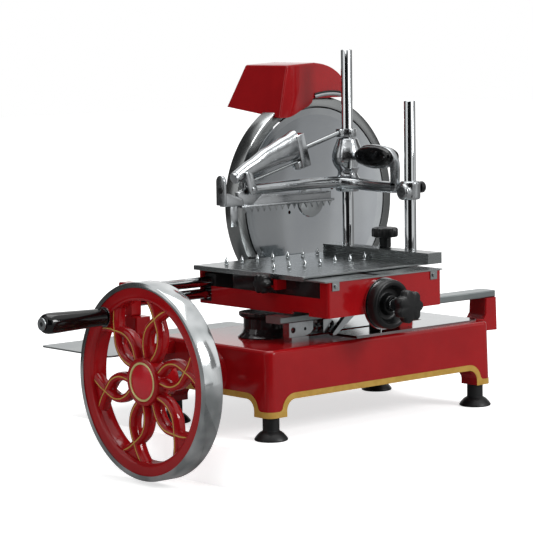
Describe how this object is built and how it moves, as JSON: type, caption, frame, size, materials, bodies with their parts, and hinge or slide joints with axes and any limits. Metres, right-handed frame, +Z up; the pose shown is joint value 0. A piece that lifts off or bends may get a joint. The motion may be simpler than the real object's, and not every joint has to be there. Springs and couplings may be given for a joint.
{
  "type": "hand crank meat slicer",
  "caption": "Hand crank meat slicer with a spoked flywheel, a round knife, a sliding carriage and a feed table with a toothed press.",
  "frame": {"origin": "centre of the four feet, on the plane they stand on", "axes": "+X along the base away from the flywheel, +Y from the feed handwheel to the knife, +Z up"},
  "size_m": [0.7845, 0.524, 0.617],
  "materials": {
    "red_enamel": "gloss",
    "gold_paint": "gloss",
    "polished_aluminium": "polished",
    "polished_steel": "polished",
    "sheet_steel": "satin",
    "chrome": "polished",
    "black_plastic": "gloss",
    "grey_rubber": "matte",
    "bronze": "satin",
    "machined_iron": "machined",
    "badge": "gloss",
    "stone": "matte"
  },
  "bodies": {
    "frame": {"base_casting": "red_enamel", "base_trim": "gold_paint", "base_cover_plate": "polished_steel", "rubber_feet": "grey_rubber", "rail_brackets": "red_enamel", "front_rail": "polished_steel", "guide_rods": "chrome", "rod_blocks": "polished_aluminium", "drive_turret": "red_enamel", "carriage_stop": "polished_aluminium", "shaft_bushes": "bronze", "blade_column": "red_enamel", "chain_cover": "red_enamel", "ring_guard": "polished_aluminium", "receiving_tray": "sheet_steel", "stone_bracket": "sheet_steel", "blade_chain": "machined_iron", "carriage_chain": "machined_iron"},
    "flywheel": {"flywheel_rim": "polished_steel", "flywheel_spider": "red_enamel", "hub_medallion": "badge", "main_shaft": "machined_iron", "drive_bevel": "machined_iron", "crank_pin": "machined_iron"},
    "crank_handle": {"crank_grip": "black_plastic"},
    "cross_drive": {"cross_shaft": "machined_iron", "driven_bevel": "machined_iron", "cross_sprockets": "machined_iron"},
    "idler": {"idler_sprocket": "machined_iron"},
    "knife": {"blade": "polished_steel", "blade_hub": "polished_steel", "blade_shaft": "machined_iron", "blade_sprocket": "machined_iron"},
    "carriage": {"carriage_box": "red_enamel", "slide_bushes": "machined_iron", "drive_fork": "machined_iron", "roller_bracket": "machined_iron", "lower_tray": "sheet_steel", "side_lock": "red_enamel"},
    "roller": {"rail_roller": "machined_iron"},
    "side_screw": {"side_knob": "black_plastic"},
    "trip": {"trip_lever": "polished_aluminium"},
    "feed_drive": {"feed_screw": "machined_iron", "handwheel": "black_plastic", "scale_dial": "sheet_steel", "star_knob": "black_plastic"},
    "table": {"feed_table": "polished_steel", "table_spikes": "chrome", "feed_nut": "machined_iron", "fence_bar": "polished_aluminium", "guide_posts": "chrome"},
    "clamp": {"clamp_knob": "black_plastic"},
    "press": {"press_arm": "polished_aluminium", "strut": "polished_aluminium"},
    "toothed_bar": {"comb": "polished_aluminium"},
    "lever": {"grip_lever": "polished_aluminium", "lever_grip": "black_plastic"},
    "lock_nut": {"arm_nut": "black_plastic"},
    "hood": {"sharpener_cover": "red_enamel"},
    "stone": {"grinding_stone": "stone"}
  },
  "joints": [
    {"name": "flywheel_spin", "type": "hinge", "parent": "frame", "child": "flywheel", "pos_m": [-0.35, 0, 0.091], "axis": [1, 0, 0], "continuous": true},
    {"name": "grip_spin", "type": "hinge", "parent": "flywheel", "child": "crank_handle", "pos_m": [-0.42, 0.08575, 0.17918], "axis": [1, 0, 0], "continuous": true},
    {"name": "cross_spin", "type": "hinge", "parent": "frame", "child": "cross_drive", "pos_m": [0.116, 0.05, 0.091], "axis": [0, 1, 0], "continuous": true},
    {"name": "idler_spin", "type": "hinge", "parent": "frame", "child": "idler", "pos_m": [-0.054, -0.05, 0.091], "axis": [0, 1, 0], "continuous": true},
    {"name": "knife_spin", "type": "hinge", "parent": "frame", "child": "knife", "pos_m": [0.116, 0.16, 0.318], "axis": [0, 1, 0], "continuous": true},
    {"name": "carriage_slide", "type": "slide", "parent": "frame", "child": "carriage", "axis": [1, 0, 0], "range_m": [-0.138, 0.082]},
    {"name": "roller_spin", "type": "hinge", "parent": "carriage", "child": "roller", "pos_m": [-0.012, -0.07, 0.183], "axis": [0, 1, 0], "range_deg": [-914, 546]},
    {"name": "side_knob_turn", "type": "hinge", "parent": "carriage", "child": "side_screw", "pos_m": [-0.16, -0.042, 0.221], "axis": [1, 0, 0], "range_deg": [-180, 180]},
    {"name": "trip_swing", "type": "hinge", "parent": "carriage", "child": "trip", "pos_m": [-0.006, -0.088, 0.186], "axis": [0, 1, 0], "range_deg": [0, 8], "stiffness_Nm_per_rad": 0.6},
    {"name": "table_feed", "type": "slide", "parent": "carriage", "child": "table", "axis": [0, 1, 0], "range_m": [-0.1, 0]},
    {"name": "handwheel_turn", "type": "hinge", "parent": "carriage", "child": "feed_drive", "pos_m": [-0.033, -0.17, 0.189], "axis": [0, 1, 0], "range_deg": [-3605, 5]},
    {"name": "clamp_turn", "type": "hinge", "parent": "table", "child": "clamp", "pos_m": [0.1105, -0.019, 0.26], "axis": [0, 0, 1], "range_deg": [-180, 180]},
    {"name": "press_slide", "type": "slide", "parent": "table", "child": "press", "axis": [0, 0, 1], "range_m": [-0.035, 0.11]},
    {"name": "comb_tilt", "type": "hinge", "parent": "press", "child": "toothed_bar", "pos_m": [-0.091, 0.065, 0.352], "axis": [0, 1, 0], "range_deg": [0, 8]},
    {"name": "lever_lift", "type": "hinge", "parent": "press", "child": "lever", "pos_m": [0.1045, -0.048, 0.35], "axis": [1, 0, 0], "range_deg": [0, 16]},
    {"name": "lock_nut_turn", "type": "hinge", "parent": "press", "child": "lock_nut", "pos_m": [0.128, -0.076, 0.349], "axis": [1, 0, 0], "range_deg": [-180, 180]},
    {"name": "hood_lift", "type": "slide", "parent": "frame", "child": "hood", "axis": [0, 0, 1], "range_m": [0, 0.055]},
    {"name": "stone_spin", "type": "hinge", "parent": "frame", "child": "stone", "pos_m": [0.072, 0.155, 0.477], "axis": [0, 1, 0], "continuous": true}
  ],
  "couplings": [
    {"joint": "cross_spin", "follows": "flywheel_spin", "ratio": 1},
    {"joint": "idler_spin", "follows": "flywheel_spin", "ratio": 1},
    {"joint": "knife_spin", "follows": "flywheel_spin", "ratio": 3},
    {"joint": "roller_spin", "follows": "carriage_slide", "rad_per_m": 114.94},
    {"joint": "handwheel_turn", "follows": "table_feed", "rad_per_m": 628.32}
  ]
}
